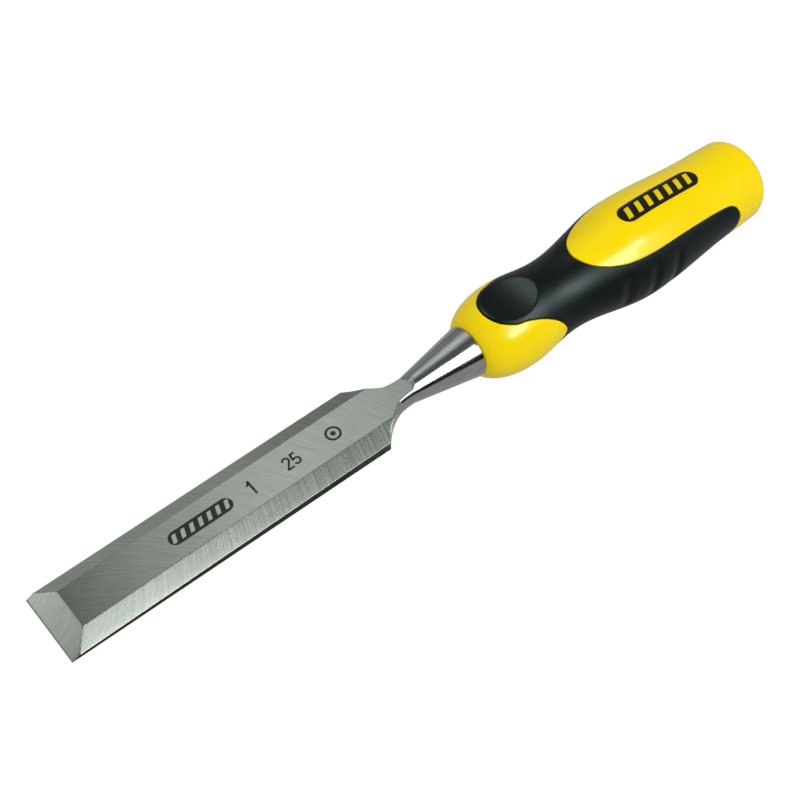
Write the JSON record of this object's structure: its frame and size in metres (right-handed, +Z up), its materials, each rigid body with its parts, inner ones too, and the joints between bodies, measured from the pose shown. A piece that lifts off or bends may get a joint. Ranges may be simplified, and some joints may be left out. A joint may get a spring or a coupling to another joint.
{
  "type": "bench chisel",
  "caption": "Bevel-edge bench chisel with a ground steel blade, polished bolster and a round handle in hard plastic with a soft overmoulded grip.",
  "frame": {"origin": "on the bench surface, under the middle of the tool's box, with the tool lying on its cutting edge and the underside of the handle's front bulb", "axes": "+X from the cutting edge towards the butt, +Y across the blade, +Z up, on the side of the blade's bevels; the tool's own axis rises 4.1 degrees towards the butt"},
  "size_m": [0.2796, 0.0358, 0.0378],
  "materials": {
    "steel": "ground with fine diagonal marks, bolster polished",
    "yellow_plastic": "smooth moulded, glossy",
    "black_grip": "soft moulded rubber, satin, fine grain"
  },
  "bodies": {
    "root": {"blade": "steel", "handle_core": "yellow_plastic", "soft_grip": "black_grip"}
  },
  "joints": []
}
